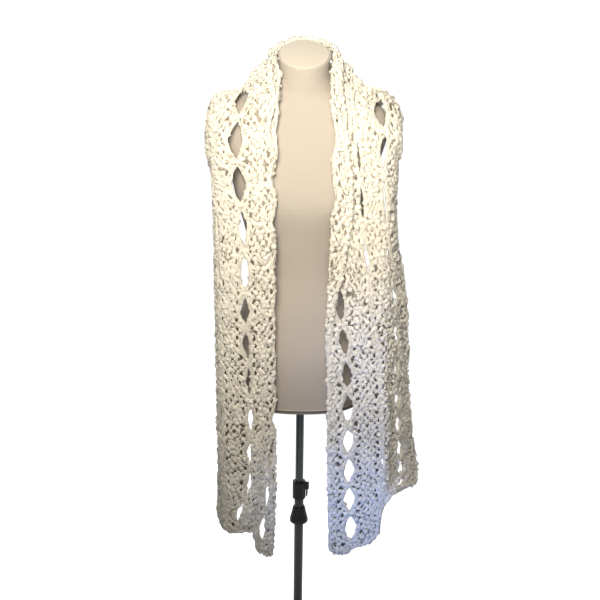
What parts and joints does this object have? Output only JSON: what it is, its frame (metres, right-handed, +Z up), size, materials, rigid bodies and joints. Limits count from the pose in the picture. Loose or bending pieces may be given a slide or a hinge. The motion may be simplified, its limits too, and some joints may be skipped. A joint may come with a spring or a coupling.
{
  "type": "crochet lace scarf on a limbless dress form with stand",
  "caption": "Long chunky crochet scarf with columns of diamond openings, draped round the neck of a limbless dress form on a height-adjustable round-base stand.",
  "frame": {"origin": "centre of the base plate's underside, on the floor", "axes": "+Z up along the stand's pole, -Y towards the front of the form, +X towards the right of someone facing the front"},
  "size_m": [0.5011, 0.3069, 1.5796],
  "materials": {
    "stand_paint": "satin",
    "mast_metal": "satin",
    "clamp_plastic": "satin",
    "form_jersey": "matte",
    "form_board": "matte",
    "cap_jersey": "matte",
    "scarf_yarn": "matte"
  },
  "bodies": {
    "stand": {"base_plate": "stand_paint", "lower_tube": "stand_paint", "tube_hub": "clamp_plastic", "clamp_collar": "clamp_plastic"},
    "lever": {"clamp_lever": "clamp_plastic"},
    "pole": {"mast": "mast_metal"},
    "form": {"form_base": "form_board", "form_body": "form_jersey", "neck_cap": "cap_jersey", "scarf_left": "scarf_yarn", "scarf_back": "scarf_yarn", "scarf_right": "scarf_yarn"}
  },
  "joints": [
    {"name": "clamp_open", "type": "hinge", "parent": "stand", "child": "lever", "pos_m": [0.0212, 0, 0.4885], "axis": [0, -1, 0], "range_deg": [0, 100]},
    {"name": "height", "type": "slide", "parent": "stand", "child": "pole", "axis": [0, 0, 1], "range_m": [-0.18, 0.16]},
    {"name": "swivel", "type": "hinge", "parent": "pole", "child": "form", "pos_m": [0, 0, 0.72], "axis": [0, 0, 1], "continuous": true}
  ]
}
